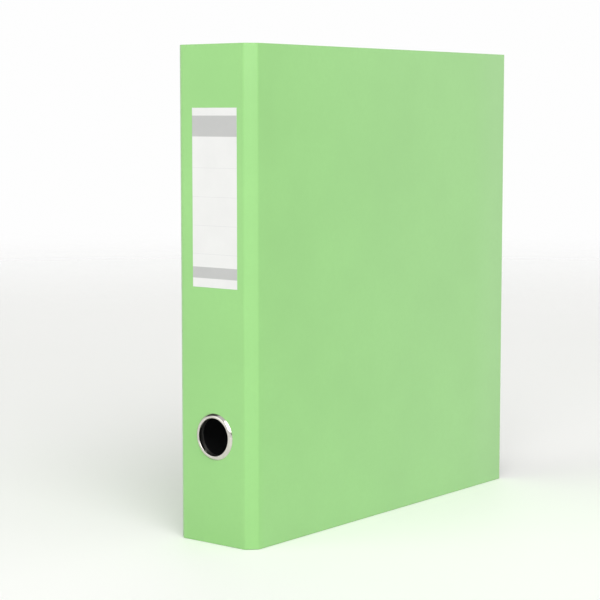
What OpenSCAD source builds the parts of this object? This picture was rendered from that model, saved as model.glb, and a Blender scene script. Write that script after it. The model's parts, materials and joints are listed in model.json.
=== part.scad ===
// Lever arch file: board case with two creased edges and a compact two-arch ring mechanism.
// Millimetres, +Z up. Origin: centre of the footprint on the bottom edges.
// The spine faces -Y, the front cover is at +X, the back cover with the mechanism at -X.

/* [Case] */
// Overall thickness across the spine
case_w = 65; // [50:1:85]
// Depth from the spine's outer face to the fore edge
case_d = 290; // [270:1:320]
// Height of the covers and the spine
case_h = 318; // [300:1:330]
// Setback of each crease from the case corner
crease_leg = 6.3; // [4:0.1:12]
// Thickness of the covering foil
foil_t = 0.3; // [0.2:0.05:0.5]
// Thickness of the greyboard
board_t = 2; // [1.5:0.1:3]
// Thickness of the lining paper
lining_t = 0.2; // [0.1:0.05:0.4]
// Width of the foil turned in round the lining
turn_in = 6; // [3:0.5:15]
// Distance from a crease to the end of a board
board_gap = 1.4; // [1.2:0.1:3]

/* [Spine] */
// Label left edge
label_x0 = -16.5; // [-25:0.5:-5]
// Label right edge
label_x1 = 20.5; // [5:0.5:25]
// Label bottom edge
label_z0 = 165; // [100:0.5:200]
// Label top edge
label_z1 = 278.3; // [200:0.5:310]
// Label paper thickness
label_t = 0.12; // [0.05:0.01:0.3]
// Finger ring centre across the spine
ring_x = 1; // [-5:0.5:5]
// Finger ring centre height
ring_z = 69.5; // [50:0.5:120]
// Finger ring outer radius
ring_ro = 15; // [12:0.25:20]
// Finger hole radius
ring_ri = 12.2; // [9:0.1:16]
// Height of the ring above the spine
ring_proud = 0.6; // [0.3:0.1:1.5]
// Wall of the ring's tube
ring_wall = 0.6; // [0.3:0.1:1]

/* [Base plate] */
// Base plate length along the spine
plate_len = 158; // [140:1:170]
// Base plate sheet thickness
plate_t = 1; // [0.6:0.1:1.5]
// Distance from the spine's inner face to the arch shaft
shaft_off = 26; // [24:0.5:40]
// Distance between the two posts
post_pitch = 80; // [80:1:108]
// Distance from the arch shaft to the posts
arch_span = 40; // [30:0.5:50]
// Height of the posts above the shaft axis
post_h = 24.3; // [15:0.1:35]
// Wire radius of arches and posts
wire_r = 2; // [1.5:0.1:2.5]
// Height of the shaft axis above the lining
shaft_u = 5; // [4:0.1:8]
// Rivet shank radius
rivet_r = 2; // [1.5:0.1:3]

/* [Lever] */
// Length from the pivot to the lever's tip
lever_len = 48; // [30:0.5:48.5]
// Width of the lever's channel
lever_w = 11.8; // [10:0.1:14]
// Radius of the lever's rounded end
paddle_r = 7.2; // [6.5:0.1:8]
// Lever sheet thickness
lever_t = 1.2; // [0.8:0.1:2]
// Slope of the closed lever towards the plate, degrees
lever_slope = 12; // [0:1:15]
// Lever pivot height above the lining
pivot_u = 14.15; // [10:0.05:20]
// Lever pivot position along the spine
pivot_z = 166.5; // [160:0.5:175]
// Distance from pivot to roller
roller_arm = 8; // [5:0.5:10]
// Roller radius
roller_r = 3; // [2:0.1:4]
// Crank radius of the arch wire
crank_r = 16.84; // [10:0.01:20]
// Running clearance on every pin
run = 0.05; // [0.01:0.01:0.1]

/* [Compressor] */
// Compressor bar height above the lining
bar_u = 10; // [8.5:0.5:20]
// Compressor bar width
bar_w = 9; // [7:0.5:12]
// Compressor bar sheet thickness
bar_t = 1; // [0.8:0.1:2]

/* [Hidden] */
$fn = 48;
e = 0.01;
SP = -case_d / 2 + ring_proud / 2;
FE = SP + case_d;
XO = case_w / 2;
wall = foil_t + board_t + lining_t;
XI = XO - wall;
CY = SP + crease_leg;
CX = XO - crease_leg;
SI = SP + wall;
t22 = tan(22.5);
zc = case_h / 2;
ys = SI + shaft_off;
yp = ys + arch_span;
z1 = zc - post_pitch / 2;
z2 = zc + post_pitch / 2;
xl = -XI;
xs = xl + shaft_u;
xp = xl + pivot_u;
yl = ys + 15.3;
py0 = ys - 10;
py1 = yp + 8;
pz0 = zc - plate_len / 2;
pz1 = zc + plate_len / 2;
arc_r = arch_span / 2;
gap = 0.15;
shank_r = 1.5;
post_foot = 2.2;
zr = pivot_z - roller_arm * sin(60);
xr = xp - roller_arm * cos(60);
crank_z0 = zr - 17;
crank_z1 = pivot_z - 5.5;
tab1 = zc - 32;
tab2 = zc + 32;
riv = [[ys - 4, pz0 + 8], [ys - 4, pz1 - 8], [yp + 2, pz0 + 8], [yp + 2, pz1 - 8]];

module b3(x0, x1, y0, y1, z0, z1) { translate([x0, y0, z0]) cube([x1 - x0, y1 - y0, z1 - z0]); }
module cx(x, y, z, r, h) { translate([x, y, z]) rotate([0, 90, 0]) cylinder(r = r, h = h); }
module cy(x, y, z, r, h) { translate([x, y, z]) rotate([-90, 0, 0]) cylinder(r = r, h = h); }
module cz(x, y, z, r, h) { translate([x, y, z]) cylinder(r = r, h = h); }

// one cover, drawn at +X; the back cover is its mirror
module cover_board() { color("tan") b3(XO - foil_t - board_t, XO - foil_t, CY + board_gap, FE - foil_t, foil_t, case_h - foil_t); }
module cover_foil() {
  difference() {
    linear_extrude(case_h) polygon([[XO, CY], [XO, FE], [XI, FE], [XI, CY + board_gap],
      [XO - foil_t, CY + board_gap], [XO - foil_t, CY + foil_t * t22 + 0.03]]);
    b3(XO - foil_t - board_t, XO - foil_t, CY, FE - foil_t, foil_t, case_h - foil_t);
    b3(XI - 1, XI + lining_t, CY, FE - turn_in, turn_in, case_h - turn_in);
  }
}
module cover_lining() { b3(XI, XI + lining_t, CY + board_gap, FE - turn_in, turn_in, case_h - turn_in); }

// a flat strip between two creases, t0 to t1 deep, its ends cut back by k0 and k1
module strip(t0, t1, k0, k1) {
  q = sqrt(2) / 2;
  linear_extrude(case_h) polygon([[CX + (k0 - t0) * q, SP + (k0 + t0) * q], [XO - (k0 + t0) * q, CY - (k0 - t0) * q],
    [XO - (k1 + t1) * q, CY - (k1 - t1) * q], [CX + (k1 - t1) * q, SP + (k1 + t1) * q]]);
}
module strip_foil() { strip(0, foil_t, 0, foil_t * t22 + 0.03); }
module strip_lining() { strip(foil_t, foil_t + lining_t, 0.3, 0.3); }

module front_board() { color("tan") cover_board(); }
module front_foil() { color("lightgreen") cover_foil(); }
module front_lining() { color("dimgray") cover_lining(); }
module back_board() {
  color("tan") difference() {
    mirror([1, 0, 0]) cover_board();
    for (p = riv) { cx(-XO - 1, p[0], p[1], rivet_r, wall + 2); cx(-XO - 1, p[0], p[1], 3.2, 1.6); }
  }
}
module back_foil() {
  color("lightgreen") difference() {
    mirror([1, 0, 0]) cover_foil();
    for (p = riv) { cx(-XO - 1, p[0], p[1], 3.2, 1.6); cx(-XO - 1, p[0], p[1], 5, 1.2); cx(-XO, p[0], p[1], rivet_r, wall + 2); }
  }
}
module back_lining() {
  color("dimgray") difference() {
    mirror([1, 0, 0]) cover_lining();
    for (p = riv) cx(-XO - 1, p[0], p[1], rivet_r, wall + 2);
  }
}
module spine_hole(r) { cy(ring_x, SP - 2, ring_z, r, wall + 4); }
module spine_board() {
  color("tan") difference() {
    b3(-CX + board_gap, CX - board_gap, SP + foil_t, SP + foil_t + board_t, foil_t, case_h - foil_t);
    spine_hole(ring_ri + ring_wall);
  }
}
module spine_foil() {
  color("lightgreen") difference() {
    linear_extrude(case_h) polygon([[-CX, SP], [CX, SP], [CX - foil_t * t22 - 0.03, SP + foil_t],
      [CX - board_gap, SP + foil_t], [CX - board_gap, SI], [-CX + board_gap, SI],
      [-CX + board_gap, SP + foil_t], [-CX + foil_t * t22 + 0.03, SP + foil_t]]);
    b3(-CX - 1, CX + 1, SP + foil_t, SP + foil_t + board_t, foil_t, case_h - foil_t);
    b3(-CX - 1, CX + 1, SP + foil_t + board_t - e, SI + 1, turn_in, case_h - turn_in);
    spine_hole(ring_ri + ring_wall);
  }
}
module spine_lining() {
  color("dimgray") difference() {
    b3(-CX + board_gap, CX - board_gap, SI - lining_t, SI, turn_in, case_h - turn_in);
    spine_hole(ring_ri + ring_wall);
  }
}
module front_hinge_foil() { color("palegreen") strip_foil(); }
module front_hinge_lining() { color("dimgray") strip_lining(); }
module rear_hinge_foil() { color("palegreen") mirror([1, 0, 0]) strip_foil(); }
module rear_hinge_lining() { color("dimgray") mirror([1, 0, 0]) strip_lining(); }
module spine_label() { color("white") b3(label_x0, label_x1, SP - label_t, SP, label_z0, label_z1); }

module finger_ring_outer() {
  color("silver") translate([ring_x, SP, ring_z]) rotate([90, 0, 0]) rotate_extrude($fn = 96) {
    polygon([[ring_ri, -wall - 0.5], [ring_ri + ring_wall, -wall - 0.5], [ring_ri + ring_wall, 0],
      [ring_ro, 0], [ring_ro, 0.25], [ring_ro - 0.4, ring_proud], [ring_ri + 0.5, ring_proud], [ring_ri, 0.15]]);
  }
}
module finger_ring_inner() {
  color("silver") translate([ring_x, SI, ring_z]) rotate([-90, 0, 0]) rotate_extrude($fn = 96) {
    polygon([[ring_ri + ring_wall, 0], [ring_ro, 0], [ring_ro, 0.2], [ring_ro - 0.3, 0.5], [ring_ri + ring_wall, 0.5]]);
  }
}

module bearing(z) {
  difference() {
    union() {
      b3(xl, xs, ys - 3.4, ys + 3.4, z - 2.5, z + 2.5);
      cz(xs, ys, z - 2.5, 3.4, 5);
    }
    cz(xs, ys, z - 3, wire_r + run, 6);
  }
}
module ear(y0) {
  difference() {
    union() {
      b3(xl, xp, y0, y0 + 1.2, pivot_z - 3, pivot_z + 8);
      cy(xp, y0, pivot_z, 3, 1.2);
      b3(xl, xp + 3, y0, y0 + 1.2, pivot_z, pivot_z + 4);
      b3(xl, xl + 7, y0, y0 + 1.2, pivot_z + 6, pivot_z + 12);
    }
    cy(xp, y0 - 1, pivot_z, 1.5, 4);
  }
}
module base_plate() {
  color("lightsteelblue") difference() {
    union() {
      difference() {
        b3(xl, xl + plate_t, py0, py1, pz0, pz1);
        b3(xl - 1, xl + 3, yl - 5, yl + 5, pz0 + 16, pz0 + 34);
        b3(xl - 1, xl + 3, yl - 5, yl + 5, pz1 - 34, pz1 - 16);
      }
      b3(xl, xl + 1.8, py0, py0 + 1, pz0, pz1);
      b3(xl, xl + 1.8, py1 - 1, py1, pz0, pz1);
      b3(xl, xl + 1.8, py0, py1, pz0, pz0 + 1);
      b3(xl, xl + 1.8, py0, py1, pz1 - 1, pz1);
      bearing(tab1);
      bearing(tab2);
      ear(yl - 8.2);
      ear(yl + 7);
      b3(xl, xl + 7, yl - 8.2, yl + 8.2, pivot_z + 10.8, pivot_z + 12);
      cx(xl, yp, z1, 3.6, post_foot);
      cx(xl, yp, z2, 3.6, post_foot);
    }
    cx(xl - 1, yp, z1, shank_r, 5);
    cx(xl - 1, yp, z2, shank_r, 5);
    for (p = riv) cx(xl - 1, p[0], p[1], rivet_r, 5);
  }
}
module mounting_rivets() {
  color("silver") for (p = riv) {
    cx(-XO + 0.6, p[0], p[1], rivet_r, wall - 0.6 + plate_t);
    translate([xl + plate_t, p[0], p[1]]) rotate([0, 90, 0]) cylinder(r1 = 3.6, r2 = 2.4, h = 1.1);
    cx(-XO, p[0], p[1], 3.2, 0.6);
  }
}
module rivet_washers() {
  color("silver") for (p = riv) difference() {
    cx(-XO, p[0], p[1], 5, 0.2);
    cx(-XO - 1, p[0], p[1], 3.2, 3);
  }
}
module post(z) {
  cx(xl, yp, z, shank_r, post_foot + 1);
  cx(xl + post_foot, yp, z, wire_r, shaft_u + post_h - post_foot);
  translate([xs + post_h, yp, z]) rotate([0, 90, 0]) cylinder(r1 = 1.5, r2 = 0.3, h = 1.2);
}
module post_lower() { color("silver") post(z1); }
module post_upper() { color("silver") post(z2); }

module arch(z) {
  ca = xs + post_h + gap;
  cx(xs, ys, z, wire_r, ca - xs);
  difference() {
    translate([ca, ys + arc_r, z]) rotate([0, 0, -90]) rotate([0, 0, 0])
      intersection() {
        rotate_extrude($fn = 96) translate([arc_r, 0]) circle(r = wire_r);
        translate([-60, 0, -10]) cube([120, 60, 20]);
      }
    translate([ca - e, yp, z]) rotate([0, 90, 0]) cylinder(r1 = 1.65, r2 = 0.35, h = 1.3);
  }
}
module arch_wire() {
  color("silver") union() {
    arch(z1);
    arch(z2);
    translate([xs, ys, z1]) sphere(r = wire_r);
    translate([xs, ys, z2]) sphere(r = wire_r);
    cz(xs, ys, z1, wire_r, crank_z0 - z1);
    cz(xs, ys, crank_z1, wire_r, z2 - crank_z1);
    cy(xs, ys, crank_z0, wire_r, crank_r);
    cy(xs, ys, crank_z1, wire_r, crank_r);
    translate([xs, ys, crank_z0]) sphere(r = wire_r);
    translate([xs, ys, crank_z1]) sphere(r = wire_r);
    translate([xs, ys + crank_r, crank_z0]) sphere(r = wire_r);
    translate([xs, ys + crank_r, crank_z1]) sphere(r = wire_r);
    cz(xs, ys + crank_r, crank_z0, wire_r, crank_z1 - crank_z0);
  }
}
module torsion_spring() {
  color("gray") {
    difference() {
      cz(xs, ys, zc + 12, 3.6, 12);
      cz(xs, ys, zc + 11, 2.5, 14);
    }
    b3(xl + plate_t, xl + plate_t + 0.9, ys - 8.5, ys, zc + 22.8, zc + 23.7);
  }
}
// side view of one cheek: X is away from the plate, Y is along the spine, pivot at 0,0
module cheek2d() {
  q = sin(60);
  difference() {
    union() {
      circle(r = 3);
      translate([-roller_arm / 2, -roller_arm * q]) circle(r = 2.6);
      polygon([[2.4 * q, -1.2], [-roller_arm / 2 + 2.1 * q, -roller_arm * q - 1.05],
        [-roller_arm / 2 - 2.1 * q, -roller_arm * q + 1.05], [-2.4 * q, 1.2]]);
      rotate(-lever_slope) translate([-0.4, -lever_len + 14]) square([2 + lever_t, lever_len - 16.4]);
    }
    circle(r = 1.5 + run);
    translate([-roller_arm / 2, -roller_arm * q]) circle(r = 1.1);
  }
}
module cheek(y) { translate([0, y + lever_t, 0]) rotate([90, 0, 0]) linear_extrude(lever_t) cheek2d(); }
module lever() {
  hw = lever_w / 2;
  color("silver") translate([xp, yl, pivot_z]) difference() {
    union() {
      cheek(-hw);
      cheek(hw - lever_t);
      rotate([0, lever_slope, 0]) {
        b3(1.5, 1.5 + lever_t, 0.4 - hw, hw - 0.4, -lever_len + paddle_r, -3.2);
        cx(1.5, 0, -lever_len + paddle_r, paddle_r, lever_t);
      }
    }
    rotate([0, lever_slope, 0]) cx(0, 0, -lever_len + 13, 3, 6);
  }
}
module lever_grip() {
  color("black") translate([xp, yl, pivot_z]) rotate([0, lever_slope, 0]) difference() {
    union() {
      b3(1.6 + lever_t, 3.2 + lever_t, -lever_w / 2 - 0.5, lever_w / 2 + 0.5, -lever_len + paddle_r, -lever_len + 20);
      cx(1.6 + lever_t, 0, -lever_len + paddle_r, paddle_r + 0.3, 1.6);
    }
    cx(0, 0, -lever_len + 13, 3, 8);
  }
}
module lever_pin() {
  color("silver") {
    cy(xp, yl - 8.2, pivot_z, 1.5, 16.4);
    cy(xp, yl - 9, pivot_z, 2.4, 0.8);
    cy(xp, yl + 8.2, pivot_z, 2.4, 0.8);
  }
}
module roller() {
  color("white") difference() {
    cy(xr, yl - 4.3, zr, roller_r, 8.6);
    cy(xr, yl - 6, zr, 1.1 + run, 12);
  }
}
module roller_pin() { color("silver") cy(xr, yl - 6.1, zr, 1.1, 12.2); }

module compressor_bar() {
  color("silver") difference() {
    union() {
      b3(xl + bar_u, xl + bar_u + bar_t, ys - bar_w / 2, ys + bar_w / 2, z1 - 7, z2 + 7);
      b3(xl + bar_u, xl + bar_u + 2.2, ys - bar_w / 2, ys - bar_w / 2 + 0.8, z1 + 9, z2 - 9);
      b3(xl + bar_u, xl + bar_u + 2.2, ys + bar_w / 2 - 0.8, ys + bar_w / 2, z1 + 9, z2 - 9);
    }
    for (z = [z1, z2]) cx(xl, ys, z, wire_r + 0.4, 30);
  }
}
module cap(z, s) {
  difference() {
    union() {
      b3(xl + bar_u + bar_t, xl + bar_u + 5, ys - 5.2, ys + 5.2, z - (s > 0 ? 9 : 6), z + (s > 0 ? 6 : 9));
      cx(xl + bar_u + bar_t, ys, z + 6 * s, 5.2, 4);
    }
    cx(xl, ys, z, wire_r + 0.3, 40);
    if (s > 0) b3(xl + bar_u + 2, xl + bar_u + 4, ys - 3.6, ys + 3.6, z - 6.4, z + 20);
  }
}
module compressor_cap_lower() { color("black") cap(z1, -1); }
module compressor_cap_upper() { color("black") cap(z2, 1); }
module release_catch() {
  color("red") difference() {
    union() {
      b3(xl + bar_u + 2.2, xl + bar_u + 3.8, ys - 3.4, ys + 3.4, z2 - 3.9, z2 + 14);
      b3(xl + bar_u + 1.2, xl + bar_u + 5, ys - 4, ys + 4, z2 + 13.6, z2 + 16);
    }
    union() {
      cx(xl, ys, z2, wire_r + 0.2, 40);
      cx(xl, ys, z2 + 2, wire_r + 0.2, 40);
      b3(xl, xl + 40, ys - wire_r - 0.2, ys + wire_r + 0.2, z2, z2 + 2);
    }
  }
}

front_board();
front_foil();
front_lining();
spine_board();
spine_foil();
spine_lining();
back_board();
back_foil();
back_lining();
front_hinge_foil();
front_hinge_lining();
rear_hinge_foil();
rear_hinge_lining();
spine_label();
finger_ring_outer();
finger_ring_inner();
base_plate();
mounting_rivets();
rivet_washers();
post_lower();
post_upper();
arch_wire();
torsion_spring();
lever();
lever_grip();
lever_pin();
roller();
roller_pin();
compressor_bar();
compressor_cap_lower();
compressor_cap_upper();
release_catch();
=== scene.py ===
import math
import bpy
import bmesh
from mathutils import Vector, Matrix
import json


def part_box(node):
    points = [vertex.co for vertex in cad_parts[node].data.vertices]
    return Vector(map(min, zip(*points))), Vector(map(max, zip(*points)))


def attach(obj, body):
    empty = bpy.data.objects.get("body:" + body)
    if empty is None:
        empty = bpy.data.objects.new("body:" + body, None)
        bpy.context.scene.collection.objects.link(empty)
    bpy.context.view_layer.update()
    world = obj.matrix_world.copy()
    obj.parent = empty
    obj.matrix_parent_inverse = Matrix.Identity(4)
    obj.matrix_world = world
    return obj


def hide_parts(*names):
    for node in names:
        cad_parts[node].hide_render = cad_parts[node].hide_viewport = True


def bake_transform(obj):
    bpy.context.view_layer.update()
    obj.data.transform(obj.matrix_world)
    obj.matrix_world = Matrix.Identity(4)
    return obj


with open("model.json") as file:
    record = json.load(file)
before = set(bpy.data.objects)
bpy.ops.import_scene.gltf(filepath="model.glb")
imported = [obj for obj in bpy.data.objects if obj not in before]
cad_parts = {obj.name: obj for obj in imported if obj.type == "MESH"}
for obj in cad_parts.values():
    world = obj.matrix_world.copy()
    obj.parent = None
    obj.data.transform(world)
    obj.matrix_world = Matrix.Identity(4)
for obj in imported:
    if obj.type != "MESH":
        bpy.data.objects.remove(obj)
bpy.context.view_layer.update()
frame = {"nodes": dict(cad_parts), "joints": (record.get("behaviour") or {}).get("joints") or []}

NODES = frame["nodes"]
JOINTS = {j["name"]: j for j in frame["joints"]}
MM = 0.001


def mm(v):
    return [c * 1000.0 for c in v]


# ---------------------------------------------------------------- positions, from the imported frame
_f = [mm(c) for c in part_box("front_foil")]
_b = [mm(c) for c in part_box("back_foil")]
_s = [mm(c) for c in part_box("spine_foil")]
XO = _f[1][0]
XI = _f[0][0]
FE = _f[1][1]
CY = _f[0][1]
H = _f[1][2]
SP = _s[0][1]
SI = _s[1][1]
CX = _s[1][0]
A = Vector((CX, SP))
B = Vector((XO, CY))
M = (A + B) / 2
STRIP = (B - A).normalized()
IN = Vector((-STRIP.y, STRIP.x))
BG = 1.4
TURN = 6.0
FOIL = 0.34
PAPER = 0.15
_lab = [mm(c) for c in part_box("spine_label")]
_ring = [mm(c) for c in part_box("finger_ring_outer")]
RX, RZ = (_ring[0][0] + _ring[1][0]) / 2, (_ring[0][2] + _ring[1][2]) / 2
RO = (_ring[1][0] - _ring[0][0]) / 2
_plate = [mm(c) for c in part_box("base_plate")]
XL = _plate[0][0]
PIV = Vector(mm(JOINTS["lever_pivot"]["pos_m"]))
SHAFT = Vector(mm(JOINTS["arch_swing"]["pos_m"]))
ROLL = Vector(mm(JOINTS["roller_spin"]["pos_m"]))
_pl = [mm(c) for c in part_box("post_lower")]
_pu = [mm(c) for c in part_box("post_upper")]
Z1 = (_pl[0][2] + _pl[1][2]) / 2
Z2 = (_pu[0][2] + _pu[1][2]) / 2
YP = (_pl[0][1] + _pl[1][1]) / 2
YS = SHAFT.y
YL = PIV.y
XS = SHAFT.x
XP = PIV.x
PZ = PIV.z


# ---------------------------------------------------------------- node helpers
class Mat:
    """A material with a Principled shader and short ways to add nodes to it."""

    def __init__(self, name, **sockets):
        self.m = bpy.data.materials.new(name)
        self.m.use_nodes = True
        self.t = self.m.node_tree
        self.p = self.t.nodes["Principled BSDF"]
        for k, v in sockets.items():
            self.set(k.replace("_", " "), v)

    def set(self, name, v):
        self.p.inputs[name].default_value = v

    def node(self, kind, **props):
        n = self.t.nodes.new(kind)
        ins = props.pop("ins", {})
        for k, v in props.items():
            setattr(n, k, v)
        for k, v in ins.items():
            if hasattr(v, "is_output") or isinstance(v, bpy.types.NodeSocket):
                self.t.links.new(v, n.inputs[k])
            else:
                n.inputs[k].default_value = v
        return n

    def link(self, out, name):
        self.t.links.new(out, self.p.inputs[name])

    def coords(self, which="Object", scale=(1, 1, 1)):
        c = self.node("ShaderNodeTexCoord")
        mp = self.node("ShaderNodeMapping", ins={"Vector": c.outputs[which], "Scale": scale})
        return mp.outputs["Vector"]

    def attr(self, name, scale=(1, 1, 1)):
        c = self.node("ShaderNodeAttribute", attribute_name=name)
        mp = self.node("ShaderNodeMapping", ins={"Vector": c.outputs["Vector"], "Scale": scale})
        return mp.outputs["Vector"]

    def noise(self, vec, scale, detail=4.0, rough=0.55, distortion=0.0):
        return self.node("ShaderNodeTexNoise", ins={"Vector": vec, "Scale": scale, "Detail": detail, "Roughness": rough, "Distortion": distortion}).outputs["Fac"]

    def voronoi(self, vec, scale, feature="F1", out="Distance", rand=1.0):
        return self.node("ShaderNodeTexVoronoi", feature=feature, ins={"Vector": vec, "Scale": scale, "Randomness": rand}).outputs[out]

    def ramp(self, fac, stops, interp="LINEAR"):
        n = self.node("ShaderNodeValToRGB", ins={"Fac": fac})
        n.color_ramp.interpolation = interp
        e = n.color_ramp.elements
        while len(e) < len(stops):
            e.new(0.5)
        for el, (pos, col) in zip(e, stops):
            el.position = pos
            el.color = (*col, 1) if len(col) == 3 else col
        return n.outputs["Color"]

    def range(self, fac, a, b, lo=0.0, hi=1.0):
        return self.node("ShaderNodeMapRange", ins={"Value": fac, "From Min": lo, "From Max": hi, "To Min": a, "To Max": b}).outputs["Result"]

    def math(self, op, a, b=0.0):
        return self.node("ShaderNodeMath", operation=op, ins={0: a, 1: b}).outputs[0]

    def mix(self, fac, a, b, blend="MIX"):
        n = self.node("ShaderNodeMix", data_type="RGBA", blend_type=blend)
        for i, v in ((0, fac), (6, a), (7, b)):
            if isinstance(v, bpy.types.NodeSocket):
                self.t.links.new(v, n.inputs[i])
            else:
                n.inputs[i].default_value = (*v, 1) if isinstance(v, tuple) and len(v) == 3 else v
        return n.outputs[2]

    def edges(self, radius=0.00035, lo=0.02, hi=0.22):
        """0 on flats, towards 1 on worn outer edges: how far the rounded normal leaves the surface's own."""
        b = self.node("ShaderNodeBevel", samples=4, ins={"Radius": radius}).outputs["Normal"]
        g = self.node("ShaderNodeNewGeometry").outputs["Normal"]
        d = self.node("ShaderNodeVectorMath", operation="DOT_PRODUCT", ins={0: b, 1: g}).outputs["Value"]
        return self.range(d, 1.0, 0.0, 1.0 - hi, 1.0 - lo)

    def bump(self, height, strength, distance, normal=None):
        ins = {"Height": height, "Strength": strength, "Distance": distance}
        if normal is not None:
            ins["Normal"] = normal
        return self.node("ShaderNodeBump", ins=ins).outputs["Normal"]


def lin(r, g, b):
    f = lambda c: (c / 255 / 12.92) if c / 255 <= 0.04045 else ((c / 255 + 0.055) / 1.055) ** 2.4
    return (f(r), f(g), f(b))


# ---------------------------------------------------------------- materials
def foil_material(name, base):
    """Fine-grained satin covering foil over greyboard, with a painted sheen mixed into its colour at grazing angles;
    rest coordinates keep the grain still as the case opens.
    """
    m = Mat(name, IOR=1.47, Coat_Weight=0.10, Coat_Roughness=0.32)
    v = m.attr("rest")
    tone = m.noise(v, 0.018, 3.0, 0.5)
    mottle = m.noise(v, 0.35, 3.0, 0.6)
    c1 = m.mix(m.range(tone, 0.0, 1.0, 0.3, 0.7), tuple(c * 0.965 for c in base), tuple(min(1, c * 1.03) for c in base))
    c2 = m.mix(m.range(mottle, 0.0, 0.35, 0.35, 0.75), c1, tuple(c * 0.955 for c in base))
    worn = m.math("MULTIPLY", m.edges(0.0005), m.range(m.noise(v, 0.6, 4.0, 0.7), 0.15, 1.0, 0.40, 0.70))
    c3 = m.mix(m.range(worn, 0.0, 0.30), c2, tuple(min(1, c * 1.12 + 0.02) for c in base))
    # painted sheen: pale grey mixed into the base colour as the foil turns away from the view, standing for reflected
    # light
    painted_sheen = m.node("ShaderNodeLayerWeight", ins={"Blend": 0.5}).outputs["Facing"]
    m.link(m.mix(m.range(painted_sheen, 0.0, 0.075, 0.36, 0.51), c3, (0.9, 0.9, 0.9)), "Base Color")
    grain = m.voronoi(v, 1.9)
    fine = m.noise(v, 5.5, 2.0, 0.6)
    rough = m.math("ADD", m.range(mottle, 0.40, 0.50), m.range(grain, 0.0, 0.06))
    m.link(rough, "Roughness")
    n1 = m.bump(m.noise(v, 0.05, 2.0, 0.5), 0.35, 0.0009)
    n2 = m.bump(grain, 0.22, 0.00009, n1)
    n3 = m.bump(fine, 0.20, 0.00005, n2)
    m.link(n3, "Normal")
    return m.m


def paper_material(name, base, fibre=0.35, rough=0.86, cloud=1.0):
    m = Mat(name, IOR=1.45, Specular_IOR_Level=0.30)
    v = m.attr("rest")
    blot = m.noise(v, 0.06, 4.0, 0.6)
    spec = m.noise(v, 2.2, 5.0, 0.65)
    flecks = m.voronoi(v, 0.9)
    c1 = m.mix(m.range(blot, 0.0, 1.0, 0.3, 0.7), tuple(c * (1 - 0.07 * cloud) for c in base), tuple(min(1, c * (1 + 0.05 * cloud)) for c in base))
    c2 = m.mix(m.range(spec, 0.0, fibre, 0.45, 0.8), c1, tuple(min(1, c * 1.18 + 0.004) for c in base))
    m.link(c2, "Base Color")
    m.link(m.range(spec, rough - 0.06, rough + 0.06), "Roughness")
    n1 = m.bump(spec, 0.30, 0.00006)
    n2 = m.bump(flecks, 0.12, 0.00005, n1)
    m.link(n2, "Normal")
    return m.m


def metal_material(name, base, rough=0.22, brushed=None, wear=0.5):
    """Nickel plate on steel: faint haze, fine rolling lines where brushed is an axis, small bright rubs."""
    m = Mat(name, Metallic=1.0, IOR=1.9)
    v = m.coords("Object", (1000, 1000, 1000))
    haze = m.noise(v, 0.12, 4.0, 0.6)
    fine = m.noise(v, 2.5, 3.0, 0.6)
    c1 = m.mix(m.range(haze, 0.0, 1.0, 0.3, 0.7), tuple(c * 0.90 for c in base), tuple(min(1, c * 1.05) for c in base))
    rub = m.math("MULTIPLY", m.edges(), m.range(fine, 0.3 * wear, wear))
    c2 = m.mix(rub, c1, tuple(min(1, c * 1.15 + 0.03) for c in base))
    m.link(c2, "Base Color")
    if brushed:
        sc = {"X": (40, 900, 900), "Y": (900, 40, 900), "Z": (900, 900, 40)}[brushed]
        lines = m.noise(m.coords("Object", sc), 3.0, 3.0, 0.7)
        m.link(m.math("ADD", m.range(haze, rough - 0.03, rough + 0.05), m.range(lines, 0.0, 0.10)), "Roughness")
        n1 = m.bump(lines, 0.10, 0.00004)
    else:
        m.link(m.math("ADD", m.range(haze, rough - 0.05, rough + 0.06), m.range(fine, 0.0, 0.05)), "Roughness")
        n1 = m.bump(fine, 0.06, 0.00003)
    m.link(n1, "Normal")
    return m.m


def plastic_material(name, base, rough=0.45, grain=0.25):
    m = Mat(name, IOR=1.5)
    v = m.coords("Object", (1000, 1000, 1000))
    grit = m.voronoi(v, 2.6)
    haze = m.noise(v, 0.25, 4.0, 0.6)
    c1 = m.mix(m.range(haze, 0.0, 1.0, 0.3, 0.7), tuple(c * 0.88 for c in base), tuple(min(1, c * 1.12 + 0.003) for c in base))
    c2 = m.mix(m.math("MULTIPLY", m.edges(), 0.5), c1, tuple(min(1, c * 1.5 + 0.02) for c in base))
    m.link(c2, "Base Color")
    m.link(m.math("ADD", m.range(haze, rough - 0.05, rough + 0.05), m.range(grit, 0.0, 0.06)), "Roughness")
    m.link(m.bump(grit, grain, 0.00006), "Normal")
    return m.m


GREEN = (0.258, 0.527, 0.179)
FOIL_M = foil_material("foil_green", GREEN)
LINING_M = paper_material("lining_charcoal", (0.030, 0.031, 0.033), 0.5, 0.84)
LABEL_M = paper_material("label_white", (0.67, 0.67, 0.662), 0.06, 0.62, 0.3)
BAND_M = paper_material("label_grey", (0.435, 0.437, 0.432), 0.08, 0.60, 0.4)
RULE_M = paper_material("label_rule", (0.60, 0.60, 0.60), 0.06, 0.62, 0.3)
BOARD_M = paper_material("greyboard", (0.30, 0.27, 0.235), 0.6, 0.92)
NICKEL_M = metal_material("nickel_bright", (0.76, 0.755, 0.74), 0.16)
RING_M = metal_material("nickel_ring", (0.66, 0.635, 0.585), 0.09)
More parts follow.
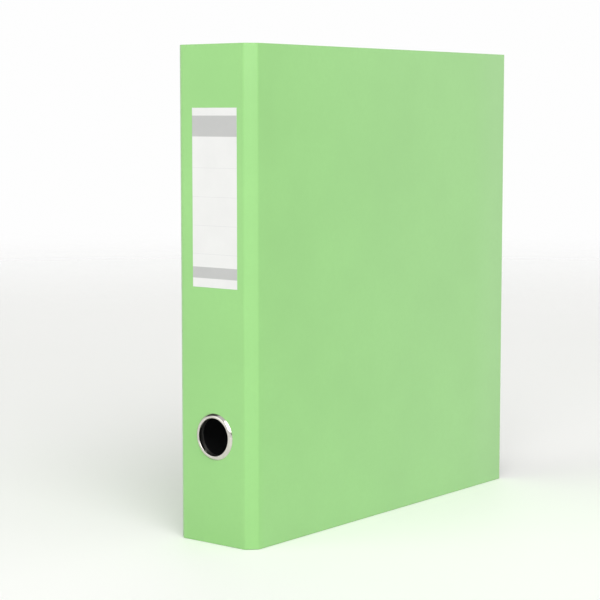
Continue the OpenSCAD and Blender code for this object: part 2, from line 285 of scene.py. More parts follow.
# painted shade: the bore's metal is made dark to stand for the shade inside the finger hole
BORE_SHADE_M = metal_material("nickel_bore_painted_shade", (0.20, 0.195, 0.185), 0.35)
WIRE_M = metal_material("nickel_wire", (0.74, 0.74, 0.735), 0.15)
PLATE_M = metal_material("nickel_plate", (0.66, 0.665, 0.67), 0.27, "Z")
BAR_M = metal_material("nickel_bar", (0.68, 0.685, 0.69), 0.24, "Z")
SPRING_M = metal_material("spring_steel", (0.33, 0.33, 0.335), 0.34)
BLACK_M = plastic_material("black_plastic", (0.014, 0.014, 0.015), 0.42)
CATCH_M = plastic_material("catch_plastic", (0.020, 0.020, 0.022), 0.30, 0.12)
ROLLER_M = plastic_material("roller_plastic", (0.72, 0.71, 0.66), 0.30, 0.08)


# ---------------------------------------------------------------- mesh helpers (millimetres in, metres out)
def finish_mesh(name, verts, faces, mats, smooth=True, angle=35, mat_index=None, rest=True):
    me = bpy.data.meshes.new(name)
    me.from_pydata([Vector(v) * MM for v in verts], [], faces)
    for m in mats:
        me.materials.append(m)
    if mat_index:
        for p, i in zip(me.polygons, mat_index):
            p.material_index = i
    bm = bmesh.new()
    bm.from_mesh(me)
    bmesh.ops.remove_doubles(bm, verts=bm.verts, dist=1e-7)
    bmesh.ops.delete(bm, geom=[e for e in bm.edges if not e.link_faces], context="EDGES")
    bmesh.ops.recalc_face_normals(bm, faces=bm.faces)
    for f in bm.faces:
        f.smooth = smooth
    for e in bm.edges:
        if len(e.link_faces) == 2 and e.calc_face_angle(0) > math.radians(angle):
            e.smooth = False
    bm.to_mesh(me)
    bm.free()
    if rest:
        add_rest(me)
    o = bpy.data.objects.new(name, me)
    bpy.context.scene.collection.objects.link(o)
    return o


def add_rest(me):
    at = me.attributes.get("rest") or me.attributes.new("rest", "FLOAT_VECTOR", "POINT")
    flat = []
    for v in me.vertices:
        flat.extend((v.co.x * 1000, v.co.y * 1000, v.co.z * 1000))
    at.data.foreach_set("vector", flat)


def arc(c, r, a0, a1, n):
    return [Vector((c[0] + r * math.cos(a0 + (a1 - a0) * i / n), c[1] + r * math.sin(a0 + (a1 - a0) * i / n))) for i in range(n + 1)]


def fillet(pts, radii, seg=5):
    """An open 2D polyline with its inner corners rounded."""
    out = [Vector(pts[0])]
    for i in range(1, len(pts) - 1):
        p, a, b = Vector(pts[i]), Vector(pts[i - 1]), Vector(pts[i + 1])
        r = radii[i - 1] if isinstance(radii, (list, tuple)) else radii
        u, v = (a - p).normalized(), (b - p).normalized()
        ang = u.angle(v)
        if r <= 0 or ang > math.pi - 0.02:
            out.append(p)
            continue
        t = min(r / math.tan(ang / 2), (a - p).length * 0.78, (b - p).length * 0.78)
        r = t * math.tan(ang / 2)
        c = p + (u + v).normalized() * (r / math.sin(ang / 2))
        s, e = p + u * t, p + v * t
        a0 = math.atan2(s.y - c.y, s.x - c.x)
        a1 = math.atan2(e.y - c.y, e.x - c.x)
        while a1 - a0 > math.pi:
            a1 -= 2 * math.pi
        while a1 - a0 < -math.pi:
            a1 += 2 * math.pi
        out += arc(c, r, a0, a1, seg)
    out.append(Vector(pts[-1]))
    return out


def normals_2d(pts, closed):
    n = len(pts)
    out = []
    for i in range(n):
        a = pts[i - 1] if (i or closed) else pts[i]
        b = pts[(i + 1) % n] if (i < n - 1 or closed) else pts[i]
        u = (pts[i] - a)
        v = (b - pts[i])
        if u.length < 1e-9:
            u = v
        if v.length < 1e-9:
            v = u
        u, v = u.normalized(), v.normalized()
        t = (u + v)
        t = t.normalized() if t.length > 1e-6 else u
        nn = Vector((-t.y, t.x))
        k = 1.0 / max(0.4, nn.dot(Vector((-u.y, u.x))))
        out.append(nn * k)
    return out


def ribbon(path, t):
    """A closed 2D outline: the open path thickened by t to its left."""
    ns = normals_2d(path, False)
    return path + [p + n * t for p, n in reversed(list(zip(path, ns)))]


def loft(name, outline, inset, z0, z1, r, mats, zs=None, mat_of=None, angle=35):
    """The closed 2D outline swept from z0 to z1, its rims rounded by r along each point's inset."""
    steps = [0.0, 0.12, 0.32, 0.62, 1.0]
    hs = []
    for s in steps:
        h = r * s
        hs.append((z0 + h, r - math.sqrt(max(0.0, r * r - (r - h) ** 2))))
    mid = [(z, 0.0) for z in (zs or [])]
    top = [(z1 - (z - z0), k) for z, k in reversed(hs)]
    rings = hs + mid + top
    n = len(outline)
    verts, faces, idx = [], [], []
    for z, k in rings:
        for p, q in zip(outline, inset):
            verts.append((p.x + q.x * k, p.y + q.y * k, z))
    for j in range(len(rings) - 1):
        for i in range(n):
            a, b = j * n + i, j * n + (i + 1) % n
            faces.append((a, b, b + n, a + n))
            idx.append(mat_of(i) if mat_of else 0)
    faces.append(tuple(reversed(range(n))))
    idx.append(0)
    faces.append(tuple((len(rings) - 1) * n + i for i in range(n)))
    idx.append(0)
    return finish_mesh(name, verts, faces, mats, angle=angle, mat_index=idx)


def mirror_x(pts):
    return [Vector((-p.x, p.y)) for p in reversed(pts)]


def lathe(name, prof, origin, axis, mats, n=96, angle=40):
    """prof is a closed list of (radius, along) pairs, turned about axis through origin."""
    ax = Vector(axis).normalized()
    u = ax.orthogonal().normalized()
    w = ax.cross(u)
    o = Vector(origin)
    verts, faces = [], []
    m = len(prof)
    for k in range(n):
        a = 2 * math.pi * k / n
        d = u * math.cos(a) + w * math.sin(a)
        for r, h in prof:
            verts.append(o + d * r + ax * h)
    for k in range(n):
        for i in range(m):
            a, b = k * m + i, k * m + (i + 1) % m
            c, d2 = ((k + 1) % n) * m + (i + 1) % m, ((k + 1) % n) * m + i
            faces.append((a, b, c, d2))
    return finish_mesh(name, verts, faces, mats, angle=angle)


# ---------------------------------------------------------------- foil-covered boards
RC = 2.6


def crease_arc(c, a_in, a_out, depth, seg=6):
    """The numbers for an arc round a crease from one outward normal to the next, at a depth under the outer face; the
    arc itself is not built.
    """
    tl = RC * math.tan(math.radians(22.5))
    return c, a_in, a_out, depth, seg, tl


tl = RC * math.tan(math.radians(22.5))
cB = B + Vector((-RC, tl))
cA = A + Vector((-tl, RC))
INNER = XI + PAPER
FR = 0.55


def cover_outline():
    out = [M.copy()]
    out += arc(cB, RC, math.radians(-45), 0.0, 6)
    out += [Vector((XO, CY + 6)), Vector((XO, FE - 40))]
    out += arc((XO - FR, FE - FR), FR, 0.0, math.pi / 2, 5)
    out += arc((INNER + FR, FE - FR), FR, math.pi / 2, math.pi, 5)
    out += [Vector((INNER, FE - 40)), Vector((INNER, CY + BG + 0.25)), Vector((INNER + 0.25, CY + BG)),
            Vector((XO - FOIL - 0.12, CY + BG)), Vector((XO - FOIL, CY + BG - 0.12))]
    out += arc(cB, RC - FOIL, 0.0, math.radians(-45), 6)
    out += [M + IN * FOIL]
    return out


def outline_inset(pts, seam_dirs):
    """Where each point goes as the rim rounds off: into the material, and along the seam at a seam."""
    ns = normals_2d(pts, True)
    out = []
    for i, n in enumerate(ns):
        out.append(n if i not in seam_dirs else seam_dirs[i])
    return out


def skin(name, pts, seams, mirror=False):
    """seams: index -> inset direction, which keeps neighbouring pieces flush."""
    ins = outline_inset(pts, seams)
    ins = [v * (1 if v.length < 1.6 else 1.6 / v.length) for v in ins]
    if mirror:
        pts, ins = mirror_x(pts), [Vector((-v.x, v.y)) for v in reversed(ins)]
    return pts, ins


RIM = 0.16
co = cover_outline()
n_co = len(co)
front_pts, front_ins = skin("front", co, {0: IN, n_co - 1: -IN})
front_cover = loft("front_cover_foil", front_pts, front_ins, 0.0, H, RIM, [FOIL_M], zs=[H * 0.25, H * 0.5, H * 0.75])
back_pts, back_ins = skin("back", co, {0: IN, n_co - 1: -IN}, True)
back_cover = loft("back_cover_foil", back_pts, back_ins, 0.0, H, RIM, [FOIL_M], zs=[H * 0.25, H * 0.5, H * 0.75])

XQ = 23.6
SPI = SI - PAPER


def corner_outline():
    out = [Vector((XQ, SP))]
    out += arc(cA, RC, math.radians(-90), math.radians(-45), 6)
    out += [M.copy(), M + IN * FOIL]
    out += arc(cA, RC - FOIL, math.radians(-45), math.radians(-90), 6)
    out += [Vector((CX - BG + 0.12, SP + FOIL)), Vector((CX - BG, SP + FOIL + 0.12)), Vector((CX - BG, SPI - 0.25)),
            Vector((CX - BG - 0.25, SPI)), Vector((XQ, SPI))]
    return out


cr = corner_outline()
i_m = next(i for i, p in enumerate(cr) if (p - M).length < 1e-6)
seams = {0: Vector((0, 1)), i_m: IN, i_m + 1: -IN, len(cr) - 1: Vector((0, -1))}
c_pts, c_ins = skin("corner", cr, seams)
front_corner = loft("front_hinge_cover", c_pts, c_ins, 0.0, H, RIM, [FOIL_M], zs=[H * 0.25, H * 0.5, H * 0.75])
m_pts, m_ins = skin("corner", cr, seams, True)
rear_corner = loft("rear_hinge_cover", m_pts, m_ins, 0.0, H, RIM, [FOIL_M], zs=[H * 0.25, H * 0.5, H * 0.75])


def holed_slab(name, x0, x1, z0, z1, y0, y1, cx, cz, r, mats, rim=0.0, n=64):
    """A flat slab across the spine with one round hole: a ring of faces from the hole to the four sides."""
    verts, faces = [], []
    # outer boundary sampled to match the hole's points
    bound = []
    for k in range(n):
        a = 2 * math.pi * k / n
        dx, dz = math.cos(a), math.sin(a)
        s = 1e9
        if dx > 1e-9:
            s = min(s, (x1 - cx) / dx)
        if dx < -1e-9:
            s = min(s, (x0 - cx) / dx)
        zs_hi, zs_lo = cz + 16.0, cz - 16.0
        if dz > 1e-9:
            s = min(s, (zs_hi - cz) / dz)
        if dz < -1e-9:
            s = min(s, (zs_lo - cz) / dz)
        bound.append((cx + dx * s, cz + dz * s))
    corners = [(x1, cz + 16), (x0, cz + 16), (x0, cz - 16), (x1, cz - 16)]
    for cxx, czz in corners:
        k = min(range(n), key=lambda q: (bound[q][0] - cxx) ** 2 + (bound[q][1] - czz) ** 2)
        bound[k] = (cxx, czz)
    hole = [(cx + r * math.cos(2 * math.pi * k / n), cz + r * math.sin(2 * math.pi * k / n)) for k in range(n)]
    # sides: y0 outer face, y1 inner face, with a small rim rounding at the slab's own top and bottom
    base = 0
    for y in (y0, y1):
        for x, z in hole:
            verts.append((x, y, z))
        for x, z in bound:
            verts.append((x, y, z))
    for s_, off in ((0, 0), (1, 2 * n)):
        for k in range(n):
            a, b = off + k, off + (k + 1) % n
            faces.append((a, b, b + n, a + n))
    for k in range(n):
        a, b = k, (k + 1) % n
        faces.append((a, a + 2 * n, b + 2 * n, b))
    top = [k for k in range(n) if abs(bound[k][1] - (cz + 16)) < 1e-6]
    bot = [k for k in range(n) if abs(bound[k][1] - (cz - 16)) < 1e-6]
    top.sort(key=lambda k: bound[k][0])
    bot.sort(key=lambda k: bound[k][0])

    def extend(ks, z_end, sign):
        """Carry the panel from the ring's square on to the slab's end, with a rounded rim."""
        rr = rim
        prof = [(y0, z_end - sign * rr), (y0 + rr * 0.29, z_end - sign * rr * 0.29), (y0 + rr, z_end)]
        prof2 = [(y1 - rr, z_end), (y1 - rr * 0.29, z_end - sign * rr * 0.29), (y1, z_end - sign * rr)]
        rows = []
        rows.append([n + k for k in ks])
        for y, z in prof:
            rows.append([])
            for k in ks:
                rows[-1].append(len(verts))
                verts.append((bound[k][0], y, z))
        for y, z in prof2:
            rows.append([])
            for k in ks:
                rows[-1].append(len(verts))
                verts.append((bound[k][0], y, z))
        rows.append([3 * n + k for k in ks])
        for r0, r1 in zip(rows, rows[1:]):
            for i in range(len(ks) - 1):
                faces.append((r0[i], r0[i + 1], r1[i + 1], r1[i]))
        for i in (0, len(ks) - 1):
            faces.append(tuple(row[i] for row in rows))

    extend(top, z1, 1)
    extend(bot, z0, -1)
    for xx in (x0, x1):
        ks = [k for k in range(n) if abs(bound[k][0] - xx) < 1e-6]
        ks.sort(key=lambda k: bound[k][1])
        for i in range(len(ks) - 1):
            a, b = n + ks[i], n + ks[i + 1]
            faces.append((a, b, b + 2 * n, a + 2 * n))
    return finish_mesh(name, verts, faces, mats)


spine_main = holed_slab("spine_cover_foil", -XQ, XQ, 0.0, H, SP, SPI, RX, RZ, 12.85, [FOIL_M], rim=RIM)

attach(spine_main, "spine")
for o, nodes, a, b, s, e in (
    (front_cover, ["front_foil"], "front_hinge", "front_cover", (XO, CY - 0.75, 0), (XO, CY + 0.95, 0)),
    (back_cover, ["back_foil"], "rear_hinge", "back_cover", (-XO, CY - 0.75, 0), (-XO, CY + 0.95, 0)),
    (front_corner, ["front_hinge_foil"], "front_hinge", "spine", (CX + 0.75, SP, 0), (CX - 0.95, SP, 0)),
    (rear_corner, ["rear_hinge_foil"], "rear_hinge", "spine", (-CX - 0.75, SP, 0), (-CX + 0.95, SP, 0)),
):
    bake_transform(o)
    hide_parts(*nodes)
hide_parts("spine_foil")


# ---------------------------------------------------------------- lining paper
def cover_lining_path():
    pts = [M + IN * FOIL, B + Vector((-FOIL, 0)) + Vector((0, FOIL * 0.414)), Vector((XO - FOIL, CY + BG)),
           Vector((INNER, CY + BG)), Vector((INNER, FE - TURN))]
    return fillet(pts, [RC - FOIL, 0.25, 0.3], 5)


def spine_lining_path():
    pts = [Vector((XQ, SPI)), Vector((CX - BG, SPI)), Vector((CX - BG, SP + FOIL)),
           A + Vector((-FOIL * 0.414, FOIL)), M + IN * FOIL]
    return fillet(pts, [0.3, 0.25, RC - FOIL], 5)


def paper_strip(name, path, mirror, thick, z0=TURN, z1=None):
    z1 = z1 or H - TURN
    pts = ribbon(path, thick)
    ins = normals_2d(pts, True)
    if mirror:
        pts, ins = mirror_x(pts), [Vector((-v.x, v.y)) for v in reversed(ins)]
    return loft(name, pts, [v * 0 for v in ins], z0, z1, 0.05, [LINING_M], zs=[H * 0.3, H * 0.6])


front_lin = paper_strip("front_lining_paper", cover_lining_path(), False, PAPER)
back_lin = paper_strip("back_lining_paper", cover_lining_path(), True, PAPER)
fcorner_lin = paper_strip("front_hinge_paper", spine_lining_path(), False, PAPER)
rcorner_lin = paper_strip("rear_hinge_paper", spine_lining_path(), True, PAPER)
spine_lin = holed_slab("spine_lining_paper", -XQ, XQ, TURN, H - TURN, SPI, SI, RX, RZ, 12.85, [LINING_M], rim=0.03)
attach(spine_lin, "spine")
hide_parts("spine_lining")
for o, nodes, a, b, s, e in (
    (front_lin, ["front_lining"], "front_hinge", "front_cover", (XO, CY - 0.75, 0), (XO, CY + 0.95, 0)),
    (back_lin, ["back_lining"], "rear_hinge", "back_cover", (-XO, CY - 0.75, 0), (-XO, CY + 0.95, 0)),
    (fcorner_lin, ["front_hinge_lining"], "front_hinge", "spine", (CX + 0.75, SP, 0), (CX - 0.95, SP, 0)),
    (rcorner_lin, ["rear_hinge_lining"], "rear_hinge", "spine", (-CX - 0.75, SP, 0), (-CX + 0.95, SP, 0)),
):
    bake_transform(o)
    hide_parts(*nodes)


# ---------------------------------------------------------------- spine label
def label():
    x0, x1, z0, z1 = _lab[0][0], _lab[1][0], _lab[0][2], _lab[1][2]
    y = SP
    t = SP - _lab[0][1]
    rule = 0.14
    zs = [z0, z0 + 0.3, 170.8, 177.9]
    look = [0, 0, 1, 0]
    for r in (186.2, 204.2, 222.3, 240.6):
        zs += [r - rule, r + rule]
        look += [2, 0]
    zs += [260.3, 273.4, z1 - 0.3, z1]
    look += [1, 0, 0]
    nx = 12
    xs = [x0, x0 + 0.3] + [x0 + (x1 - x0) * i / nx for i in range(1, nx)] + [x1 - 0.3, x1]
    verts, faces, idx = [], [], []

    def lift(x, z):
        # a hand-stuck label: its corners and edges stand a few hundredths off the foil
        ex = min(x - x0, x1 - x) / 6.0
        ez = min(z - z0, z1 - z) / 6.0
        return 0.05 * math.exp(-ex) * (0.5 + 0.5 * math.sin(z * 0.11)) + 0.05 * math.exp(-ez)

    for s in (0, 1):
        for z in zs:
            for x in xs:
                d = lift(x, z)
                verts.append((x, y - d * 0.5 - (t if s == 0 else 0.0), z))
    w, h = len(xs), len(zs)
    for j in range(h - 1):
        for i in range(w - 1):
            a = j * w + i
            faces.append((a, a + 1, a + 1 + w, a + w))
            idx.append(look[j])
            b = a + w * h
            faces.append((b, b + w, b + 1 + w, b + 1))
            idx.append(0)
    n = w * h
    for j in range(h - 1):
        for i in (0, w - 1):
            a = j * w + i
            faces.append((a, a + w, a + w + n, a + n))
            idx.append(0)
    for i in range(w - 1):
        for j in (0, h - 1):
            a = j * w + i
            faces.append((a, a + 1, a + 1 + n, a + n))
            idx.append(0)
    return finish_mesh("spine_label_paper", verts, faces, [LABEL_M, BAND_M, RULE_M], mat_index=idx, angle=50)


lab = label()
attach(lab, "spine")
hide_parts("spine_label")

# ---------------------------------------------------------------- finger ring
RI = 12.2
RV = RO + 0.1
wall = SI - SP
# the rolled face: a long sloping outer flank, a narrow crest, then a tight roll into the bore
prof = [(RI + 0.3, -0.3), (RV, -0.02), (RV + 0.02, 0.08), (RV - 0.06, 0.20), (RV - 0.34, 0.48), (RV - 0.70, 0.82), (RV - 1.06, 1.14)]
prof += [(RV - 1.40, 1.40), (RV - 1.72, 1.53), (RV - 1.98, 1.55), (RI + 0.50, 1.54)]
prof += [(RI + 0.42 - 0.42 * math.sin(math.pi / 2 * k / 6), 1.11 + 0.42 * math.cos(math.pi / 2 * k / 6)) for k in range(7)]
prof += [(RI, -0.3)]
ring = lathe("finger_ring_rolled", prof, (RX, SP, RZ), (0, -1, 0), [RING_M], n=128, angle=60)
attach(ring, "spine")
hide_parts("finger_ring_outer")
# the bore wall of the finger ring, its dark metal a painted shade for the hole
prof = [(RI, 0.1), (RI, -wall - 0.35), (RI + 0.12, -wall - 0.6), (RI + 0.35, -wall - 0.6), (RI + 0.4, -wall - 0.35), (RI + 0.4, 0.1)]
tube_ = lathe("finger_ring_tube", prof, (RX, SP, RZ), (0, -1, 0), [BORE_SHADE_M], n=128, angle=60)
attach(tube_, "spine")
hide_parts("finger_ring_outer")
prof = [(RI + 0.37, -0.05), (RO, -0.05), (RO, 0.12), (RO - 0.25, 0.32), (RO - 0.9, 0.5), (RI + 1.3, 0.54), (RI + 0.6, 0.46), (RI + 0.37, 0.25)]
ring2 = lathe("finger_ring_back", prof, (RX, SI, RZ), (0, 1, 0), [NICKEL_M], n=128, angle=60)
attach(ring2, "spine")
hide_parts("finger_ring_inner")

# ---------------------------------------------------------------- CAD nodes that keep their shape
def dress(node, mat, bevel=0.0, seg=2, angle=30):
    o = NODES[node]
    if not o.data.materials:
        o.data.materials.append(mat)
    for i in range(len(o.data.materials)):
        o.material_slots[i].link = "OBJECT"
        o.material_slots[i].material = mat
    w = o.modifiers.new("weld", "WELD")
    w.merge_threshold = 1e-6
    d = o.modifiers.new("planar", "DECIMATE")
    d.decimate_type = "DISSOLVE"
    d.angle_limit = math.radians(0.4)
    if bevel:
        b = o.modifiers.new("bevel", "BEVEL")
        b.width = bevel * MM
        b.segments = seg
        b.limit_method = "ANGLE"
        b.angle_limit = math.radians(angle)
        b.harden_normals = False
    wn = o.modifiers.new("normals", "WEIGHTED_NORMAL")
    wn.keep_sharp = True
    wn.weight = 80
    return o


for n in ("front_board", "spine_board", "back_board"):
    dress(n, BOARD_M)
dress("base_plate", PLATE_M, 0.18)
dress("mounting_rivets", NICKEL_M, 0.15)
dress("rivet_washers", NICKEL_M, 0.05)
dress("post_lower", WIRE_M, 0.12)
dress("post_upper", WIRE_M, 0.12)
dress("arch_wire", WIRE_M)
dress("torsion_spring", SPRING_M)
dress("lever", NICKEL_M, 0.2)
dress("lever_grip", BLACK_M, 0.35, 3)
dress("lever_pin", NICKEL_M, 0.2)
dress("roller", ROLLER_M, 0.2)
dress("roller_pin", NICKEL_M, 0.15)
dress("compressor_bar", BAR_M, 0.15)
dress("compressor_cap_lower", BLACK_M, 0.4, 3)
dress("compressor_cap_upper", BLACK_M, 0.4, 3)
dress("release_catch", CATCH_M, 0.25, 3)

# ---------------------------------------------------------------- more mesh helpers for the mechanism
def tube(name, path, r, mats, n=14, taper=0.25):
    """A round wire along a 3D path, its ends slightly rounded off."""
    pts = [Vector(p) for p in path]
    t0 = (pts[1] - pts[0]).normalized()
    u = t0.orthogonal().normalized()
    verts, faces = [], []
    rings = []
    prev = t0
    for i, p in enumerate(pts):
        t = ((pts[min(i + 1, len(pts) - 1)] - pts[max(i - 1, 0)])).normalized()
        u = (u - t * u.dot(t)).normalized()
        w = t.cross(u)
        if i == 0:
            rings += [(p - t * 0, r * (1 - taper), u.copy(), w), (p + t * r * taper, r, u.copy(), w)]
        elif i == len(pts) - 1:
            rings += [(p - t * r * taper, r, u.copy(), w), (p, r * (1 - taper), u.copy(), w)]
        else:
            rings.append((p, r, u.copy(), w))
    for c, rr, uu, ww in rings:
        for k in range(n):
            a = 2 * math.pi * k / n
            verts.append(c + (uu * math.cos(a) + ww * math.sin(a)) * rr)
    for j in range(len(rings) - 1):
        for k in range(n):
            a, b = j * n + k, j * n + (k + 1) % n
            faces.append((a, b, b + n, a + n))
    faces.append(tuple(reversed(range(n))))
    faces.append(tuple((len(rings) - 1) * n + k for k in range(n)))
    return finish_mesh(name, verts, faces, mats, angle=50)


def block(name, lo, hi, r, mats, seg=3, frame_m=None):
    """A box with every edge rounded; frame_m carries it from its own axes to the row frame (millimetres)."""
    me = bpy.data.meshes.new(name)
    bm = bmesh.new()
    c = [(lo[i] + hi[i]) / 2 for i in range(3)]
    d = [hi[i] - lo[i] for i in range(3)]
    bmesh.ops.create_cube(bm, size=1.0, matrix=Matrix.Translation(c) @ Matrix.Diagonal((*d, 1)))
    bmesh.ops.bevel(bm, geom=bm.edges[:], offset=r, segments=seg, profile=0.5, affect="EDGES")
    if frame_m is not None:
        bmesh.ops.transform(bm, matrix=frame_m, verts=bm.verts)
    bmesh.ops.scale(bm, vec=(MM, MM, MM), verts=bm.verts)
    for f in bm.faces:
        f.smooth = True
    bmesh.ops.recalc_face_normals(bm, faces=bm.faces)
    bm.to_mesh(me)
    bm.free()
    for m in mats:
        me.materials.append(m)
    add_rest(me)
    o = bpy.data.objects.new(name, me)
    bpy.context.scene.collection.objects.link(o)
    return o


def bead(name, y, z0, z1, x, w, h, mats, n=8):
    """A pressed rib lying on a plate: half-round across, its ends rounded down."""
    verts, faces = [], []
    rings = []
    m = 6
    for k in range(m + 1):
        a = math.pi / 2 * k / m
        rings.append((z0 + w / 2 * (1 - math.sin(a)) if False else z0 + w / 2 * (1 - math.cos(a)), math.sin(a)))
    rings += [(z0 + (z1 - z0) * q, 1.0) for q in (0.25, 0.5, 0.75)]
    for k in range(m + 1):
        a = math.pi / 2 * (1 - k / m)
        rings.append((z1 - w / 2 * (1 - math.cos(a)), math.sin(a)))
    for z, s in rings:
        s = max(s, 0.02)
        for k in range(n + 1):
            a = math.pi * k / n
            verts.append((x + h * s * math.sin(a), y + w / 2 * s * math.cos(a), z))
    q = n + 1
    for j in range(len(rings) - 1):
        for k in range(n):
            a = j * q + k
            faces.append((a, a + 1, a + 1 + q, a + q))
        faces.append((j * q + n, j * q, (j + 1) * q, (j + 1) * q + n))
    faces.append(tuple(range(q)))
    faces.append(tuple((len(rings) - 1) * q + k for k in range(q)))
    return finish_mesh(name, verts, faces, mats, angle=60)


# torsion spring: close-wound, one leg running out along the plate
zsp = [mm(c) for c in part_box("torsion_spring")]
z_lo, z_hi = zsp[0][2] + 0.5, zsp[1][2] - 0.5
turns = 10
path = []
for k in range(turns * 24 + 1):
    a = math.pi + 2 * math.pi * k / 24
    path.append((XS + 3.05 * math.cos(a), YS + 3.05 * math.sin(a), z_lo + (z_hi - z_lo) * k / (turns * 24)))
last = path[-1]
path += [(last[0], YS - 1.2, last[2]), (last[0] - 0.35, YS - 3.0, last[2]), (last[0] - 0.45, YS - 8.2, last[2])]
spring = tube("torsion_spring_coil", path, 0.46, [SPRING_M], n=10)
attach(spring, "back_cover")
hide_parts("torsion_spring")

PT = XL + 1.0
for i, (y, z0, z1) in enumerate(((YP - 9.0, 92.0, 226.0), (YS + 5.6, 92.0, 121.0), (YS + 5.6, 197.0, 226.0), (YL - 0.0, 118.0, 136.0), (YL, 184.0, 200.0))):
    b = bead(f"plate_rib_{i}", y, z0, z1, PT, 2.6, 0.55, [PLATE_M])
    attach(b, "back_cover")

# paper posts: drawn pins with a turned-down point that seats in the arch end
top = _pl[1][0] - XL
for n_, z in (("post_lower", Z1), ("post_upper", Z2)):
    prof = [(0.0, 0.3), (1.5, 0.3), (1.5, 2.2), (1.88, 2.2), (2.0, 2.34), (2.0, 12.0), (2.0, top - 1.34), (1.93, top - 1.18), (1.74, top - 1.08),
            (1.48, top - 0.98), (0.98, top - 0.56), (0.46, top - 0.13), (0.24, top - 0.02), (0.0, top)]
    o = lathe(n_ + "_pin", prof, (XL, YP, z), (1, 0, 0), [WIRE_M], n=48, angle=50)
    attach(o, "back_cover")
    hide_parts(n_)

# rivet heads and washers on the outside of the back cover
rivets = []
co_ = NODES["mounting_rivets"].data.vertices
pts = sorted({(round(v.co.y * 1000, 1), round(v.co.z * 1000, 1)) for v in co_ if v.co.x * 1000 < -XO + 0.05})
ry = sorted(set(p[0] for p in pts))
rz = sorted(set(p[1] for p in pts))
cells = {}
for y, z in pts:
    cells.setdefault((y > (ry[0] + ry[-1]) / 2, z > (rz[0] + rz[-1]) / 2), []).append((y, z))
for key, group in sorted(cells.items()):
    cy_ = (min(p[0] for p in group) + max(p[0] for p in group)) / 2
    cz_ = (min(p[1] for p in group) + max(p[1] for p in group)) / 2
    rivets.append((cy_, cz_))
for i, (y, z) in enumerate(rivets):
    dome = [(0.0, -0.3), (3.15, -0.3), (3.2, 0.16), (3.05, 0.34), (2.6, 0.50), (1.9, 0.60), (1.1, 0.65), (0.45, 0.60), (0.3, 0.52), (0.0, 0.50)]
    o = lathe(f"rivet_head_{i}", dome, (-XO, y, z), (-1, 0, 0), [NICKEL_M], n=48, angle=60)
    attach(o, "back_cover")
    ringp = [(3.2, -0.1), (5.0, -0.1), (5.0, 0.10), (4.85, 0.22), (4.5, 0.27), (3.7, 0.25), (3.3, 0.16), (3.2, 0.05)]
    o = lathe(f"rivet_washer_{i}", ringp, (-XO, y, z), (-1, 0, 0), [NICKEL_M], n=48, angle=60)
    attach(o, "back_cover")
    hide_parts("rivet_washers")
    dome = [(0.0, -0.2), (3.7, -0.2), (3.72, 0.06), (3.45, 0.50), (2.9, 0.92), (2.1, 1.22), (1.1, 1.38), (0.0, 1.42)]
    o = lathe(f"rivet_inner_{i}", dome, (XL + 1.0, y, z), (1, 0, 0), [NICKEL_M], n=48, angle=60)
    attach(o, "back_cover")

# grip lines on the lever's plastic pad and on the catch
slope = math.radians(12)
RL = Matrix.Translation((XP, YL, PZ)) @ Matrix.Rotation(slope, 4, "Y")
for i in range(6):
    zz = -46.2 + i * 2.2
    half = min(5.0, math.sqrt(max(0.2, 7.0 ** 2 - (zz + 40.8) ** 2)) - 1.2) if zz < -40.8 else 5.2
    if abs(zz + 35.0) < 3.6:
        continue
    b = block(f"grip_rib_{i}", (4.2, -half, zz - 0.45), (4.75, half, zz + 0.45), 0.2, [BLACK_M], frame_m=RL)
    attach(b, "lever")
_c = [mm(c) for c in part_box("release_catch")]
for i in range(3):
    xx = _c[0][0] + 0.9 + i * 1.0
    b = block(f"catch_rib_{i}", (xx, _c[0][1] + 0.7, _c[1][2] - 0.2), (xx + 0.5, _c[1][1] - 0.7, _c[1][2] + 0.25), 0.12, [CATCH_M])
    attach(b, "release")
_c = [mm(c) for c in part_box("compressor_bar")]
b = bead("bar_rib", YS, Z1 + 12, Z2 - 12, _c[0][0] + 1.0, 3.2, 0.7, [BAR_M])
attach(b, "compressor")

# the folded corners of the covering foil on the inside of each cover
for side, body in ((1, "front_cover"), (-1, "back_cover")):
    for top in (0, 1):
        zt = H - 0.25 if top else 0.25
        dz = -1 if top else 1
        x = side * INNER
        t = 0.07
        tri = [(FE - 0.5, zt + dz * 0.1), (FE - 0.5, zt + dz * (TURN + 1.2)), (FE - TURN - 1.0, zt + dz * (TURN + 1.2)), (FE - TURN - 1.0, zt + dz * (TURN + 0.6))]
        verts = [(x + side * 0.02, y, z) for y, z in tri] + [(x - side * t, y, z) for y, z in tri]
        n = len(tri)
        faces = [tuple(range(n)), tuple(range(2 * n - 1, n - 1, -1))] + [(i, (i + 1) % n, n + (i + 1) % n, n + i) for i in range(n)]
        o = finish_mesh(f"corner_fold_{'f' if side > 0 else 'b'}{top}", verts, faces, [FOIL_M], angle=30)
        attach(o, body)

# ---------------------------------------------------------------- floor, lights, camera
bpy.ops.mesh.primitive_plane_add(size=60, location=(0, 0, -0.0002))
floor = bpy.context.object
floor.name = "floor"
fm = Mat("floor_white", Roughness=0.6)
fv = fm.coords("Object")
fm.link(fm.mix(fm.range(fm.noise(fv, 3.0, 2.0), 0, 1, 0.3, 0.7), (0.945, 0.950, 0.920), (0.955, 0.958, 0.932)), "Base Color")
# the floor melts into the white surroundings well away from the object
fr = fm.node("ShaderNodeVectorMath", operation="LENGTH", ins={0: fv}).outputs["Value"]
fade = fm.node("ShaderNodeMapRange", interpolation_type="SMOOTHSTEP", ins={"Value": fr, "From Min": 0.6, "From Max": 3.0, "To Min": 1.0, "To Max": 0.0}).outputs["Result"]
fm.link(fade, "Alpha")
floor.data.materials.append(fm.m)

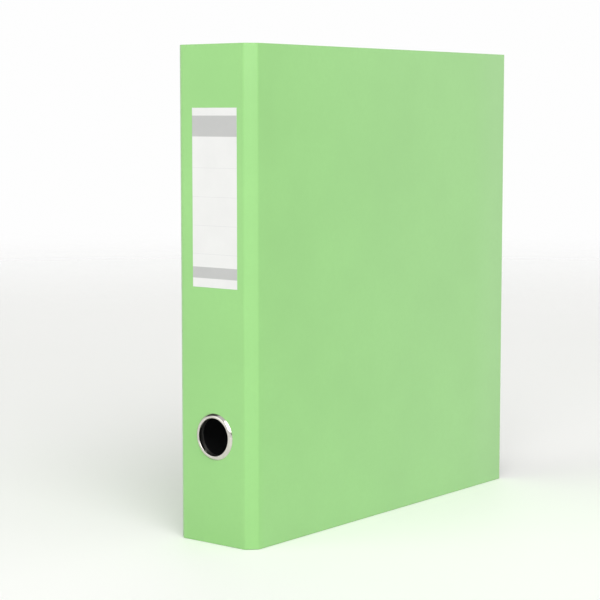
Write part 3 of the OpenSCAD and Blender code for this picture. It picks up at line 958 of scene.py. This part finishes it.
world = bpy.data.worlds.new("studio")
bpy.context.scene.world = world
world.use_nodes = True
wt = world.node_tree
bg = wt.nodes["Background"]
wc = wt.nodes.new("ShaderNodeTexCoord")
wz = wt.nodes.new("ShaderNodeSeparateXYZ")
wt.links.new(wc.outputs["Generated"], wz.inputs[0])
wr = wt.nodes.new("ShaderNodeValToRGB")
wt.links.new(wz.outputs["Z"], wr.inputs["Fac"])
el = wr.color_ramp.elements
el.new(0.5), el.new(0.5)
for e_, (pos, v) in zip(el, ((0.0, 0.99), (0.08, 0.99), (0.16, 0.99), (0.30, 0.68))):
    e_.position = pos
    e_.color = (v, v, v, 1)
sky = wr.outputs["Color"]
for (dx, dy, dz), half, soft, dark in (((-0.66, 0.0, 0.75), 26, 5, 0.06), ((0.1, 0.55, 0.83), 14, 5, 0.22), ((0.78, -0.60, 0.21), 7, 2.5, 0.04)):
    dv = Vector((dx, dy, dz)).normalized()
    dp = wt.nodes.new("ShaderNodeVectorMath")
    dp.operation = "DOT_PRODUCT"
    wt.links.new(wc.outputs["Generated"], dp.inputs[0])
    dp.inputs[1].default_value = dv
    mr = wt.nodes.new("ShaderNodeMapRange")
    mr.interpolation_type = "SMOOTHSTEP"
    wt.links.new(dp.outputs["Value"], mr.inputs["Value"])
    mr.inputs["From Min"].default_value = math.cos(math.radians(half + soft))
    mr.inputs["From Max"].default_value = math.cos(math.radians(half - soft))
    mx = wt.nodes.new("ShaderNodeMix")
    mx.data_type = "RGBA"
    wt.links.new(mr.outputs["Result"], mx.inputs[0])
    wt.links.new(sky, mx.inputs[6])
    mx.inputs[7].default_value = (dark, dark, dark * 0.95, 1)
    sky = mx.outputs[2]
wt.links.new(sky, bg.inputs["Color"])
bg.inputs["Strength"].default_value = 1.0


def area(name, dx, dy, elev, dist, size, power):
    n, e = math.hypot(dx, dy), math.radians(elev)
    loc = Vector((dist * math.cos(e) * dx / n, dist * math.cos(e) * dy / n, 0.12 + dist * math.sin(e)))
    d = bpy.data.lights.new(name, "AREA")
    d.energy, d.size = power, size
    o = bpy.data.objects.new(name, d)
    bpy.context.scene.collection.objects.link(o)
    o.location = loc
    o.rotation_euler = (Vector((0, 0, 0.12)) - loc).to_track_quat("-Z", "Y").to_euler()


def sun(name, dx, dy, elev, angle, power):
    n, e = math.hypot(dx, dy), math.radians(elev)
    d = bpy.data.lights.new(name, "SUN")
    d.energy, d.angle = power, math.radians(angle)
    o = bpy.data.objects.new(name, d)
    bpy.context.scene.collection.objects.link(o)
    o.rotation_euler = (-Vector((math.cos(e) * dx / n, math.cos(e) * dy / n, math.sin(e)))).to_track_quat("-Z", "Y").to_euler()


area("front", 0.62, -0.78, 35, 1.9, 1.3, 10.0)
sun("wide_high", 0.78, -0.62, 40, 50, 1.3)
sun("left", -0.45, -0.89, 25, 40, 0.32)

cam_d = bpy.data.cameras.new("camera")
cam = bpy.data.objects.new("camera", cam_d)
bpy.context.scene.collection.objects.link(cam)
cam_d.lens = 106.7
cam_d.sensor_width = 36.0
cam_d.clip_start = 0.05
yaw, pitch = math.radians(38.627), math.radians(5.951)
cam.location = (0.7421, -0.9849, 0.2740)
cam.rotation_euler = (math.pi / 2 - pitch, 0, yaw)
bpy.context.scene.camera = cam
bpy.context.scene.view_settings.view_transform = "Standard"
bpy.context.scene.view_settings.look = "None"

import json
